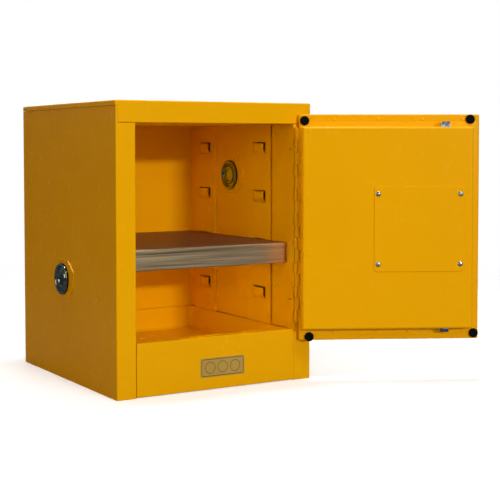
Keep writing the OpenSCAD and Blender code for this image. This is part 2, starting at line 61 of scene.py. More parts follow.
# Sizes of the CAD part that the detailed pieces follow: first the case
HALF_W = 220.5
FRONT, BACK = -238.0, 238.0
COVER_TOP, COVER_Z = 568.0, 558.0
SHEET = 1.2
JAMB_X, JAMB_DEPTH = 179.3, 24.0
LINER_X, LINER_BACK = 182.5, 200.0
HEADER_Z = 525.8
SILL_H = 105.5
BOLT_SLOT_HALF = 10.7
BOLT_SLOT_DEPTHS = (6.6, 18.4)
TRAY_FLOOR, TRAY_TOP = 51.0, 102.5
SHELF_HALF, SHELF_DEPTHS = 178.9, (27.0, 426.0)
SHELF_TOP, SHELF_SKIRT, SHELF_LIP = 282.8, 270.8, 239.8

# Vents, by side: -1 is the left, and 1 the right
VENT_Y = 16.0
VENT_Z = {-1: 208.0, 1: 417.0}
VENT_RISE = 2.5
VENT_BORE = 27.0

# Shelf standards and their ledges
STANDARD_Y = {"front": -105.5, "rear": 129.0}
STANDARD_X = 179.5
STANDARD_HALF = 46.5
LEDGE_TOPS = (179.0, 281.5, 384.0, 486.5)
LEDGE_DROP = 23.5
LEDGE_HALF = 23.0
LEDGE_REACH = 5.0

# The door, drawn closed. Its depths are those of the outer skin, the flange and the inner face.
HINGE = Vector((181.5, -245.0, 0))
DOOR_OPEN = math.radians(153)
DOOR_TURN = (
    Matrix.Translation(HINGE) @ Matrix.Rotation(DOOR_OPEN, 4, "Z") @ Matrix.Translation(-HINGE)
)
DOOR_LEFT, DOOR_RIGHT = -195.5, 176.5
DOOR_Z = (83.0, 545.0)
SKIN, FLANGE, FACE = -15.0, -5.0, 20.0
PAN_X = (-177.5, 172.5)
PAN_Z = (107.5, 519.7)
BRIM_LEFT = -188.5
BRIM_Z = (93.0, 531.0)
HANDLE = (-120.0, 314.0)
HANDLE_HOLE = 51.0
# The cover plate's middle, width and height
PLATE = (-66.1, 312.0, 185.0, 173.0)
# The hinge's knuckles
KNUCKLES, KNUCKLE_PITCH, KNUCKLE_GAP, KNUCKLE_RADIUS = 16, 24.75, 0.25, 3.2
HINGE_Z = (121.0, 517.0)

# ---------------------------------------------------------------- camera and stage


def make_camera():
    """The photograph's viewpoint: level within three degrees, from the front and the left."""
    place = Vector((-1168.8, -2243.2, 482.0)) * MM
    yaw, pitch, roll = (math.radians(v) for v in (30.343, -2.643, 0.084))
    data = bpy.data.cameras.new("camera")
    data.sensor_width = 36.0
    data.lens = 85.04
    data.shift_x = 0.06
    data.shift_y = -0.10
    data.clip_start, data.clip_end = 0.05, 60.0
    camera = bpy.data.objects.new("camera", data)
    camera.matrix_world = (
        Matrix.Translation(place)
        @ Matrix.Rotation(-yaw, 4, "Z")
        @ Matrix.Rotation(math.pi / 2 + pitch, 4, "X")
        @ Matrix.Rotation(-roll, 4, "Z")
    )
    bpy.context.scene.collection.objects.link(camera)
    bpy.context.scene.camera = camera


WHITE = (1.0, 1.0, 1.0)
AMBER = (1.0, 0.66, 0.30)

# Each soft box's name, place, aim and size in metres, its watts, whether the camera and
# polished surfaces see it, and its colour. The inside ones stand for light that bounces about
# in the case.
LAMPS = (
    ("key", (0.80, -10.0, 2.34), (0.05, -0.2, 0.4), (1.1, 0.35), 350, True, WHITE),
    ("front_fill", (-1.7, -2.9, 1.2), (0.1, -0.1, 0.3), (1.2, 0.9), 14, False, WHITE),
    ("high_fill", (0.2, -2.0, 2.7), (0.1, -0.2, 0.3), (1.4, 0.18), 24, True, WHITE),
    ("top", (0.1, 0.1, 2.7), (0.1, 0.0, 0.4), (2.0, 0.3), 36, True, WHITE),
    ("side_fill", (-3.2, -0.6, 1.3), (0.0, 0.0, 0.3), (2.0, 1.5), 18, True, AMBER),
    ("back", (1.5, 3.2, 2.2), (0.0, 0.0, 0.2), (2.0, 1.0), 30, True, WHITE),
    ("inside_low", (-0.10, -0.18, 0.20), (0.10, 0.1, 0.08), (0.06, 0.05), 0.24, False, WHITE),
    ("inside_high", (-0.12, -0.18, 0.36), (0.18, 0.06, 0.32), (0.05, 0.12), 0.15, False, WHITE),
)


def area_light(name, place, aim, size, power, seen, colour):
    data = bpy.data.lights.new(name, "AREA")
    data.shape = "RECTANGLE"
    data.size, data.size_y = size
    data.energy = power
    data.color = colour
    lamp = bpy.data.objects.new(name, data)
    lamp.visible_camera = seen
    lamp.visible_glossy = seen
    lamp.location = place
    lamp.rotation_mode = "QUATERNION"
    lamp.rotation_quaternion = (Vector(aim) - Vector(place)).to_track_quat("-Z", "Y")
    bpy.context.scene.collection.objects.link(lamp)


GROUND_LEVEL = (0.03, 0.03, 0.03)
HORIZON_BAND = (0.24, 0.24, 0.24)
OVERHEAD = (0.05, 0.055, 0.06)


def make_world():
    """White behind the object; to other rays, dim but for a band just above the horizon."""
    world = bpy.data.worlds.new("studio")
    world.use_nodes = True
    tree = world.node_tree
    background = tree.nodes["Background"]
    coordinate = tree.nodes.new("ShaderNodeTexCoord")
    split = tree.nodes.new("ShaderNodeSeparateXYZ")
    ramp = tree.nodes.new("ShaderNodeValToRGB")
    ramp.color_ramp.elements[0].position = 0.0
    ramp.color_ramp.elements[0].color = (*GROUND_LEVEL, 1)
    ramp.color_ramp.elements[1].position = 0.40
    ramp.color_ramp.elements[1].color = (*OVERHEAD, 1)
    for height, level in ((0.03, GROUND_LEVEL), (0.07, HORIZON_BAND), (0.18, HORIZON_BAND)):
        ramp.color_ramp.elements.new(height).color = (*level, 1)
    tree.links.new(coordinate.outputs["Generated"], split.inputs[0])
    tree.links.new(split.outputs["Z"], ramp.inputs[0])
    tree.links.new(ramp.outputs[0], background.inputs[0])
    backdrop = tree.nodes.new("ShaderNodeBackground")
    backdrop.inputs[0].default_value = (1, 1, 1, 1)
    path = tree.nodes.new("ShaderNodeLightPath")
    mix = tree.nodes.new("ShaderNodeMixShader")
    tree.links.new(path.outputs["Is Camera Ray"], mix.inputs[0])
    tree.links.new(background.outputs[0], mix.inputs[1])
    tree.links.new(backdrop.outputs[0], mix.inputs[2])
    tree.links.new(mix.outputs[0], tree.nodes["World Output"].inputs[0])
    bpy.context.scene.world = world


FLOOR_REACH = 3.0
FLOOR_FADE = (1.0, 2.6)
FLOOR_DROP = 0.0004


def floor_material():
    """Pale to the camera and grey to other rays, and it fades into the backdrop."""
    material = bpy.data.materials.new("stage_floor")
    material.use_nodes = True
    tree = material.node_tree

    def matt(level):
        shader = tree.nodes.new("ShaderNodeBsdfDiffuse")
        shader.inputs["Color"].default_value = (level, level, level, 1)
        return shader.outputs[0]

    def mix(factor, first, second):
        mixer = tree.nodes.new("ShaderNodeMixShader")
        for source, socket in zip((factor, first, second), mixer.inputs):
            tree.links.new(source, socket)
        return mixer.outputs[0]

    seen = tree.nodes["Principled BSDF"]
    seen.inputs["Base Color"].default_value = (0.92, 0.92, 0.92, 1)
    seen.inputs["Roughness"].default_value = 0.9
    seen.inputs["Specular IOR Level"].default_value = 0.1
    seen.inputs["Emission Color"].default_value = (1, 1, 1, 1)
    seen.inputs["Emission Strength"].default_value = 0.42
    path = tree.nodes.new("ShaderNodeLightPath")
    unseen = mix(path.outputs["Is Glossy Ray"], matt(0.36), matt(0.10))
    solid = mix(path.outputs["Is Camera Ray"], unseen, seen.outputs[0])
    coordinate = tree.nodes.new("ShaderNodeTexCoord")
    distance = tree.nodes.new("ShaderNodeVectorMath")
    distance.operation = "LENGTH"
    fade = tree.nodes.new("ShaderNodeMapRange")
    fade.interpolation_type = "SMOOTHSTEP"
    fade.inputs["From Min"].default_value, fade.inputs["From Max"].default_value = FLOOR_FADE
    tree.links.new(coordinate.outputs["Object"], distance.inputs[0])
    tree.links.new(distance.outputs["Value"], fade.inputs["Value"])
    clear = tree.nodes.new("ShaderNodeBsdfTransparent")
    edge = mix(fade.outputs[0], solid, clear.outputs[0])
    tree.links.new(edge, tree.nodes["Material Output"].inputs[0])
    return material


def make_stage():
    mesh = bpy.data.meshes.new("stage_floor")
    low, high = -FLOOR_REACH, FLOOR_REACH
    mesh.from_pydata([(low, low, 0), (high, low, 0), (high, high, 0), (low, high, 0)], [],
                     [(0, 1, 2, 3)])
    mesh.materials.append(floor_material())
    floor = bpy.data.objects.new("stage_floor", mesh)
    floor.location.z = -FLOOR_DROP
    bpy.context.scene.collection.objects.link(floor)
    for lamp in LAMPS:
        area_light(*lamp)


make_camera()
make_world()
make_stage()
bpy.context.scene.view_settings.view_transform = "Standard"

# ---------------------------------------------------------------- materials


class Paint:
    """A material under construction: its principled shader and the nodes that feed it."""

    def __init__(self, name, colour, roughness, metallic=0.0):
        self.material = bpy.data.materials.new(name)
        self.material.use_nodes = True
        self.tree = self.material.node_tree
        self.shader = self.tree.nodes["Principled BSDF"]
        self.shader.inputs["Base Color"].default_value = (*colour, 1)
        self.shader.inputs["Roughness"].default_value = roughness
        self.shader.inputs["Metallic"].default_value = metallic
        self.object_space = self.node("ShaderNodeTexCoord").outputs["Object"]

    def node(self, kind):
        return self.tree.nodes.new(kind)

    def link(self, source, target):
        self.tree.links.new(source, target)

    def noise(self, scale, detail=2.0, stretch=(1, 1, 1)):
        mapping = self.node("ShaderNodeMapping")
        mapping.inputs["Scale"].default_value = stretch
        self.link(self.object_space, mapping.inputs["Vector"])
        texture = self.node("ShaderNodeTexNoise")
        texture.inputs["Scale"].default_value = scale
        texture.inputs["Detail"].default_value = detail
        self.link(mapping.outputs[0], texture.inputs["Vector"])
        return texture.outputs["Fac"]

    def spread(self, source, low, high):
        """Maps 0.3 to 0.7 of a noise on to a range of numbers."""
        span = self.node("ShaderNodeMapRange")
        span.inputs["From Min"].default_value = 0.3
        span.inputs["From Max"].default_value = 0.7
        span.inputs["To Min"].default_value = low
        span.inputs["To Max"].default_value = high
        self.link(source, span.inputs["Value"])
        return span.outputs[0]

    def roughness_from(self, source, low, high):
        self.link(self.spread(source, low, high), self.shader.inputs["Roughness"])

    def colour_from(self, source, dark, light):
        ramp = self.node("ShaderNodeValToRGB")
        ramp.color_ramp.elements[0].position = 0.3
        ramp.color_ramp.elements[0].color = (*dark, 1)
        ramp.color_ramp.elements[1].position = 0.7
        ramp.color_ramp.elements[1].color = (*light, 1)
        self.link(source, ramp.inputs[0])
        self.link(ramp.outputs[0], self.shader.inputs["Base Color"])

    def bump(self, source, height_mm, strength):
        bump = self.node("ShaderNodeBump")
        bump.inputs["Strength"].default_value = strength
        bump.inputs["Distance"].default_value = height_mm * MM
        self.link(source, bump.inputs["Height"])
        self.link(bump.outputs[0], self.shader.inputs["Normal"])


def powder_coat():
    """Satin powder coat: an even colour with the faint orange peel of the baked film."""
    paint = Paint("powder_coat", (0.94, 0.437, 0.0), 0.25)
    paint.shader.inputs["Specular IOR Level"].default_value = 0.30
    paint.shader.inputs["Specular Tint"].default_value = (1.0, 0.80, 0.30, 1)
    drift = paint.noise(5, 1.0)
    paint.colour_from(drift, (0.93, 0.431, 0.0), (0.95, 0.444, 0.0))
    paint.roughness_from(paint.noise(40, 2.0), 0.22, 0.28)
    paint.bump(paint.noise(420, 1.0), 0.01, 0.25)
    return paint.material


def brushed_steel():
    """Cold-rolled steel brushed along the shelf's width."""
    paint = Paint("brushed_shelf", (0.52, 0.40, 0.24), 0.36, 1.0)
    paint.shader.inputs["Specular Tint"].default_value = (0.30, 0.27, 0.22, 1)
    strokes = paint.noise(1.0, 4.0, (5, 620, 620))
    clouds = paint.noise(9, 2.0, (0.5, 1, 1))
    mix = paint.node("ShaderNodeMix")
    mix.data_type = "FLOAT"
    mix.inputs["Factor"].default_value = 0.35
    paint.link(strokes, mix.inputs[2])
    paint.link(clouds, mix.inputs[3])
    paint.colour_from(mix.outputs[0], (0.46, 0.335, 0.185), (0.76, 0.59, 0.37))
    paint.roughness_from(strokes, 0.27, 0.45)
    paint.bump(strokes, 0.015, 0.4)
    return paint.material


def zinc_plate():
    paint = Paint("zinc_plate", (0.55, 0.6, 0.66), 0.3, 1.0)
    paint.colour_from(paint.noise(150, 3.0), (0.47, 0.53, 0.60), (0.66, 0.70, 0.74))
    paint.roughness_from(paint.noise(220, 3.0), 0.22, 0.40)
    return paint.material


def chrome():
    paint = Paint("polished_chrome", (0.32, 0.44, 0.47), 0.05, 1.0)
    paint.roughness_from(paint.noise(90, 3.0), 0.04, 0.12)
    paint.bump(paint.noise(40, 1.0), 0.1, 0.08)
    return paint.material


def rubber():
    paint = Paint("black_rubber", (0.004, 0.004, 0.004), 0.55)
    paint.shader.inputs["Specular IOR Level"].default_value = 0.04
    paint.roughness_from(paint.noise(120, 3.0), 0.45, 0.65)
    paint.bump(paint.noise(500, 2.0), 0.05, 0.25)
    return paint.material


def moulded_plastic():
    paint = Paint("black_plastic", (0.014, 0.014, 0.015), 0.45)
    paint.roughness_from(paint.noise(200, 3.0), 0.38, 0.52)
    paint.bump(paint.noise(700, 2.0), 0.06, 0.4)
    return paint.material


def label_film():
    paint = Paint("label_film", (0.50, 0.30, 0.05), 0.35)
    paint.colour_from(paint.noise(12, 2.0), (0.49, 0.29, 0.045), (0.53, 0.33, 0.06))
    return paint.material


def label_ink():
    paint = Paint("label_ink", (0.03, 0.022, 0.008), 0.5)
    paint.roughness_from(paint.noise(300, 2.0), 0.42, 0.6)
    return paint.material


def bright_zinc():
    """The latch bolts' plating, polished where they rub."""
    paint = Paint("bright_zinc", (0.52, 0.60, 0.70), 0.26, 1.0)
    paint.roughness_from(paint.noise(180, 3.0), 0.20, 0.32)
    paint.colour_from(paint.noise(90, 2.0), (0.46, 0.54, 0.64), (0.58, 0.66, 0.76))
    return paint.material


def brass():
    paint = Paint("brass", (0.72, 0.52, 0.22), 0.3, 1.0)
    paint.roughness_from(paint.noise(200, 3.0), 0.22, 0.4)
    return paint.material


MATERIALS = {
    "yellow_powder_coat": powder_coat(),
    "brushed_shelf": brushed_steel(),
    "plated_steel": zinc_plate(),
    "chrome_cap": chrome(),
    "black_rubber": rubber(),
    "black_plastic": moulded_plastic(),
    "plain_label": label_film(),
    "brass_stud": brass(),
}

# ---------------------------------------------------------------- mesh tools


def make_piece(name, bm, nodes, slot=None, material=None, on_door=False, solid=0.0, bevel=0.0,
               sharp=32.0):
    """Turns a bmesh in millimetres into a piece that stands for the given CAD nodes.

    solid is the thickness given to an open sheet, and sharp the angle that keeps an edge crisp.
    """
    mesh = bpy.data.meshes.new(name)
    if on_door:
        bm.transform(DOOR_TURN)
    bm.transform(Matrix.Scale(MM, 4))
    bm.to_mesh(mesh)
    bm.free()
    slot = slot or SLOT_OF[nodes[0]]
    mesh.materials.append(material or MATERIALS[slot])
    mesh.shade_smooth()
    mesh.set_sharp_from_angle(angle=math.radians(sharp))
    piece = bpy.data.objects.new(name, mesh)
    bpy.context.scene.collection.objects.link(piece)
    if solid:
        thicken = piece.modifiers.new("sheet", "SOLIDIFY")
        thicken.thickness = solid * MM
        thicken.offset = -1.0
        thicken.use_even_offset = True
    if bevel:
        add_bevel(piece, bevel)
    weigh = piece.modifiers.new("flat_faces_rule", "WEIGHTED_NORMAL")
    weigh.keep_sharp = True
    weigh.weight = 100
    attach(piece, BODY_OF[nodes[0]])
    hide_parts(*nodes)
    return piece


def add_bevel(piece, width):
    bevel = piece.modifiers.new("soft_edge", "BEVEL")
    bevel.width = width * MM
    bevel.segments = 2
    bevel.limit_method = "ANGLE"
    bevel.angle_limit = math.radians(40.0)
    bevel.harden_normals = False
    bevel.use_clamp_overlap = True


def circle(steps):
    """The angles of a whole turn, in equal steps."""
    return [2 * math.pi * i / steps for i in range(steps)]


def quarter(steps):
    """The angles of a quarter turn, both ends included."""
    return [math.pi / 2 * k / steps for k in range(steps + 1)]


def ring_of(bm, points):
    return [bm.verts.new(p) for p in points]


def bridge(bm, ring_a, ring_b, closed=True):
    count = len(ring_a)
    for i in range(count if closed else count - 1):
        j = (i + 1) % count
        bm.faces.new((ring_a[i], ring_a[j], ring_b[j], ring_b[i]))


def loft(bm, rings, cap_first=False, cap_last=False):
    """Joins closed rings of points in order, and returns their vertices."""
    made = [ring_of(bm, ring) for ring in rings]
    for a, b in zip(made, made[1:]):
        bridge(bm, a, b)
    if cap_first:
        bm.faces.new(list(reversed(made[0])))
    if cap_last:
        bm.faces.new(made[-1])
    return made


def fill_between(bm, *rings):
    """Fills the flat area between closed rings of vertices, the first being the outer one."""
    edges = []
    for ring in rings:
        for i, vert in enumerate(ring):
            other = ring[(i + 1) % len(ring)]
            edges.append(bm.edges.get((vert, other)) or bm.edges.new((vert, other)))
    bmesh.ops.triangle_fill(bm, edges=edges, use_beauty=True, use_dissolve=False)


def face_towards(bm, direction):
    """Makes the normals of an open sheet agree, with most of its area facing a direction."""
    bmesh.ops.recalc_face_normals(bm, faces=bm.faces)
    bm.normal_update()
    total = sum((f.normal * f.calc_area() for f in bm.faces), Vector())
    if total.dot(Vector(direction)) < 0:
        bmesh.ops.reverse_faces(bm, faces=bm.faces)


def round_corner_outline(corners, radius, steps):
    """A closed 2-D outline with each corner replaced by an arc."""
    points = []
    count = len(corners)
    for i in range(count):
        here = Vector(corners[i])
        before = (Vector(corners[i - 1]) - here).normalized()
        after = (Vector(corners[(i + 1) % count]) - here).normalized()
        half_angle = before.angle(after) / 2
        centre = here + (before + after).normalized() * (radius / math.sin(half_angle))
        start = here + before * (radius / math.tan(half_angle))
        end = here + after * (radius / math.tan(half_angle))
        a, b = start - centre, end - centre
        turn = a.angle_signed(b)
        points += [centre + Matrix.Rotation(-turn * k / steps, 2) @ a for k in range(steps + 1)]
    return points


def rect_outline(low, high, radius, steps=5, inset=0.0):
    """A rectangle with round corners, moved in by the inset from its low and high corners."""
    x0, y0 = low[0] + inset, low[1] + inset
    x1, y1 = high[0] - inset, high[1] - inset
    return round_corner_outline([(x0, y0), (x1, y0), (x1, y1), (x0, y1)], radius, steps)


def level_ring(outline, z):
    return [(p.x, p.y, z) for p in outline]


def bent_sheet(bm, path, low, high, radius, thickness, axis="Z"):
    """A sheet folded along an open 2-D path, from low to high along Z or X.

    The path is the sheet's outer face. The thickness lies to the right of it, or to the left
    if it is negative.
    """
    steps = 5
    rounded = [Vector(path[0])]
    for i in range(1, len(path) - 1):
        here = Vector(path[i])
        before, after = Vector(path[i - 1]) - here, Vector(path[i + 1]) - here
        r = min(radius, before.length * 0.49, after.length * 0.49)
        before.normalize()
        after.normalize()
        half_angle = before.angle(after) / 2
        centre = here + (before + after).normalized() * (r / math.sin(half_angle))
        a = here + before * (r / math.tan(half_angle)) - centre
        b = here + after * (r / math.tan(half_angle)) - centre
        turn = a.angle_signed(b)
        rounded += [centre + Matrix.Rotation(-turn * k / steps, 2) @ a for k in range(steps + 1)]
    rounded.append(Vector(path[-1]))
    inner = []
    for i, p in enumerate(rounded):
        sides = []
        if i > 0:
            sides.append((p - rounded[i - 1]).normalized())
        if i < len(rounded) - 1:
            sides.append((rounded[i + 1] - p).normalized())
        normals = [Vector((d.y, -d.x)) for d in sides]
        mean = sum(normals, Vector((0, 0))).normalized()
        inner.append(p + mean * thickness / max(0.3, mean.dot(normals[0])))
    outline = rounded + inner[::-1]
    if axis == "Z":
        rings = [level_ring(outline, z) for z in (low, high)]
    else:
        rings = [[(x, p.x, p.y) for p in outline] for x in (low, high)]
    made = [ring_of(bm, ring) for ring in rings]
    bridge(bm, *made)
    for ring in made:
        count = len(rounded)
        for i in range(count - 1):
            bm.faces.new((ring[i], ring[i + 1], ring[2 * count - 2 - i], ring[2 * count - 1 - i]))
    bmesh.ops.recalc_face_normals(bm, faces=bm.faces)


def lathe(bm, profile, place, axis, steps=64):
    """Turns a profile of (radius, height) round an axis. A radius of 0 closes that end."""
    turn = Vector(axis).to_track_quat("Z", "X").to_matrix().to_4x4()
    whole = Matrix.Translation(Vector(place)) @ turn
    rings = []
    for radius, height in profile:
        if radius <= 0:
            rings.append([bm.verts.new(whole @ Vector((0, 0, height)))])
            continue
        rings.append([
            bm.verts.new(whole @ Vector((radius * math.cos(a), radius * math.sin(a), height)))
            for a in circle(steps)
        ])
    for a, b in zip(rings, rings[1:]):
        if len(a) == 1 or len(b) == 1:
            hub, rim = (a, b) if len(a) == 1 else (b, a)
            for i in range(steps):
                bm.faces.new((hub[0], rim[i], rim[(i + 1) % steps]))
        else:
            bridge(bm, a, b)
    bmesh.ops.recalc_face_normals(bm, faces=bm.faces)


def block(bm, x, y, z):
    corners = [(x[i], y[j], z[k]) for i in (0, 1) for j in (0, 1) for k in (0, 1)]
    v = [bm.verts.new(c) for c in corners]
    sides = ((0, 1, 3, 2), (4, 6, 7, 5), (0, 4, 5, 1), (2, 3, 7, 6), (0, 2, 6, 4), (1, 5, 7, 3))
    for side in sides:
        bm.faces.new([v[i] for i in side])


def smooth(t):
    """A soft step from 0 to 1."""
    t = min(1.0, max(0.0, t))
    return t * t * (3 - 2 * t)


def deep(depth):
    """The Y of a depth behind the case's front face."""
    return FRONT + depth

# ---------------------------------------------------------------- case


def vent_octagon(inset):
    long_half, short_half = 54 - inset, 40 - inset
    corners = [(long_half, -17), (long_half, 17), (26, short_half), (-26, short_half),
               (-long_half, 17), (-long_half, -17), (-26, -short_half), (26, -short_half)]
    return round_corner_outline(corners, 5.0, 4)


def pressed_plate(bm, plane, side, y_range, z_range, vent_z, windows=()):
    """A flat side plate, with a raised octagon, a hole for a vent, and any plain windows.

    plane is the plate's X, and side the direction of the rise along X.
    """
    def place(y, z, rise=0.0):
        return (plane + side * rise, y, z)

    def frame_ring(y, z):
        return ring_of(bm, [place(y[0], z[0]), place(y[1], z[0]), place(y[1], z[1]),
                            place(y[0], z[1])])

    edge = frame_ring(y_range, z_range)
    steps, ramp = 6, 1.3
    rings = []
    for k in range(steps + 1):
        t = k / steps
        rise = VENT_RISE * (0.6 * t + 0.4 * smooth(t))
        rings.append([place(VENT_Y + p.x, vent_z + p.y, rise) for p in vent_octagon(ramp * t)])
    made = loft(bm, rings)
    hole = ring_of(bm, [
        place(VENT_Y + VENT_BORE * math.cos(a), vent_z + VENT_BORE * math.sin(a), VENT_RISE)
        for a in circle(72)
    ])
    cuts = [frame_ring(y, z) for y, z in windows]
    fill_between(bm, edge, made[0], *cuts)
    fill_between(bm, made[-1], hole)
    face_towards(bm, (side, 0, 0))


def side_panel(side):
    """The pressed side, and the folds of its stile, its jamb and its rear return."""
    name = "left_side_panel" if side < 0 else "right_side_panel"
    plate_edge = deep(6)
    top = COVER_Z - 0.6
    skin = bmesh.new()
    pressed_plate(skin, side * HALF_W, side, (plate_edge, BACK), (0, top), VENT_Z[side])
    make_piece(name + "_skin", skin, [name], solid=SHEET)
    folds = bmesh.new()
    full = [(HALF_W, plate_edge), (HALF_W, FRONT), (JAMB_X, FRONT), (JAMB_X, deep(JAMB_DEPTH)),
            (LINER_X + SHEET, deep(JAMB_DEPTH))]
    corner = [(HALF_W, plate_edge), (HALF_W, FRONT), (HALF_W - 4, FRONT)]
    rear = [(204.5, BACK - 1.3), (HALF_W - 1.3, BACK - 1.3)]
    post_top = HEADER_Z - 0.6
    for path, low, high, radius, thickness in (
        (full, 0, post_top, 2.5, side * SHEET),
        (corner, post_top, top, 2.5, side * SHEET),
        (rear, 0, top, 1.0, -side * SHEET),
    ):
        bent_sheet(folds, [(side * x, y) for x, y in path], low, high, radius, thickness)
    make_piece(name + "_folds", folds, [name])


def inner_wall(side):
    """The lining, with a window behind each ledge, which opens on the hollow of the wall."""
    name = "inner_left_wall" if side < 0 else "inner_right_wall"
    bm = bmesh.new()
    windows = [((centre - 27, centre + 20), (top - 20, top + 2))
               for centre in STANDARD_Y.values() for top in LEDGE_TOPS]
    pressed_plate(bm, side * LINER_X, -side, (deep(JAMB_DEPTH + 0.2), LINER_BACK),
                  (TRAY_TOP + 2.0, HEADER_Z - 0.2), VENT_Z[side], windows=windows)
    make_piece(name + "_sheet", bm, [name], solid=SHEET)


def standard(side, which):
    """A raised strip with four lanced ledges, each free along its top and its front edge."""
    name = ("left_" if side < 0 else "right_") + which + "_standard"
    centre = STANDARD_Y[which]
    near, far = centre - STANDARD_HALF, centre + STANDARD_HALF
    z_low, z_high = TRAY_TOP + 2, HEADER_Z - 0.5
    window_y = (centre - LEDGE_HALF - 4, centre + LEDGE_HALF)
    face, wall = side * STANDARD_X, side * LINER_X
    bm = bmesh.new()
    edge_near = [(face, near), (face, window_y[0])]
    if which == "rear":
        edge_near.insert(0, (wall, near))
    edge_far = [(face, window_y[1]), (face, far), (wall, far)]
    for path in (edge_near, edge_far):
        bent_sheet(bm, path, z_low, z_high, 1.8, -side * SHEET)
    spans = [z_low] + [z for top in LEDGE_TOPS for z in (top - LEDGE_DROP, top + 2.5)] + [z_high]
    for low, high in zip(spans[::2], spans[1::2]):
        bent_sheet(bm, [(face, y) for y in window_y], low, high, 0.0, -side * SHEET)
    make_piece(name + "_strip", bm, [name])
    tabs = bmesh.new()
    columns, rows, ramp = 24, 16, 10.0
    for top in LEDGE_TOPS:
        grid = []
        for j in range(rows + 1):
            z = top - LEDGE_DROP + LEDGE_DROP * j / rows
            line = []
            for i in range(columns + 1):
                y = centre - LEDGE_HALF + 2 * LEDGE_HALF * i / columns
                lift = (LEDGE_REACH * smooth((z - top + LEDGE_DROP) / ramp)
                        * smooth((centre + LEDGE_HALF - y) / ramp))
                line.append(tabs.verts.new((side * (STANDARD_X - lift), y, z)))
            grid.append(line)
        for a, b in zip(grid, grid[1:]):
            bridge(tabs, a, b, closed=False)
    face_towards(tabs, (-side, 0, 0))
    make_piece(name + "_ledges", tabs, [name], solid=SHEET)


def top_cover():
    """The cover with its lips, rounded all round, and the header below its front edge."""
    bm = bmesh.new()
    low, high, r = (-HALF_W - 1, FRONT), (HALF_W + 1, BACK + 1), 3.0
    rings = []
    for a in quarter(6):
        inset = r * (1 - math.cos(a))
        outline = rect_outline(low, high, max(r + 0.5 - inset, 0.4), 6, inset)
        rings.append(level_ring(outline, COVER_TOP - r + r * math.sin(a)))
    skirt = [(p[0], p[1], COVER_Z) for p in rings[0]]
    inner = rect_outline(low, high, 2.3, 6, SHEET)
    ceiling, hem = level_ring(inner, COVER_TOP - SHEET), level_ring(inner, COVER_Z)
    loft(bm, [ceiling, hem, skirt] + rings, cap_first=True, cap_last=True)
    bmesh.ops.recalc_face_normals(bm, faces=bm.faces)
    header_x = HALF_W - 4.3
    header = [(FRONT, COVER_Z), (FRONT, HEADER_Z), (deep(5.5), HEADER_Z)]
    bent_sheet(bm, header, -header_x, header_x, 1.6, -SHEET, "X")
    make_piece("top_cover_shell", bm, ["top_cover"])


def sill():
    """The panel under the opening, with the lower bolt's slot left open in its top."""
    bm = bmesh.new()
    x = JAMB_X - 0.4
    slot_x = (HANDLE[0] - BOLT_SLOT_HALF, HANDLE[0] + BOLT_SLOT_HALF)
    slot_near, slot_far = (deep(depth) for depth in BOLT_SLOT_DEPTHS)
    front = [(deep(12), 1), (FRONT, 1), (FRONT, SILL_H), (slot_near, SILL_H)]
    bent_sheet(bm, front, -x, x, 2.0, SHEET, "X")
    for near, low, high in (
        (slot_near, -x, slot_x[0]), (slot_near, slot_x[1], x), (slot_far, *slot_x)
    ):
        ledge = [(near, SILL_H), (deep(JAMB_DEPTH), SILL_H)]
        bent_sheet(bm, ledge, low, high, 0, SHEET, "X")
    make_piece("sill_sheet", bm, ["sill_panel"])


def sump_tray():
    """The tray, from its rim down: rounded at its corners and round its floor."""
    bm = bmesh.new()
    r = 9.0
    low, high = (-LINER_X, deep(24.5 + SHEET)), (LINER_X, LINER_BACK)
    rings = [level_ring(rect_outline(low, high, r, 8), TRAY_TOP)]
    for a in quarter(8):
        inset = r * (1 - math.cos(a))
        outline = rect_outline(low, high, max(r - inset, 0.3), 8, inset)
        rings.append(level_ring(outline, TRAY_FLOOR + r * (1 - math.sin(a))))
    loft(bm, rings, cap_last=True)
    face_towards(bm, (0, 0, 1))
    make_piece("sump_tray_sheet", bm, ["sump_tray"], solid=SHEET, sharp=60)


def shelf():
    """The shelf's pan, and the deep lip along its front."""
    bm = bmesh.new()
    near, far = (deep(depth) for depth in SHELF_DEPTHS)
    low, high, r = (-SHELF_HALF, near), (SHELF_HALF, far), 4.0
    rings = [level_ring(rect_outline(low, high, 1.6, 4), SHELF_SKIRT)]
    for a in quarter(6):
        outline = rect_outline(low, high, 1.0, 4, r * (1 - math.cos(a)))
        rings.append(level_ring(outline, SHELF_TOP - r + r * math.sin(a)))
    loft(bm, rings, cap_last=True)
    face_towards(bm, (0, 0, 1))
    make_piece("shelf_sheet", bm, ["shelf"], solid=SHEET)
    lip = bmesh.new()
    fold = [(near, SHELF_SKIRT), (near, SHELF_LIP), (near + 8, SHELF_LIP)]
    lip_x = SHELF_HALF - 0.4
    bent_sheet(lip, fold, -lip_x, lip_x, 1.5, -SHEET, "X")
    make_piece("shelf_lip", lip, ["shelf"])

# ---------------------------------------------------------------- vents


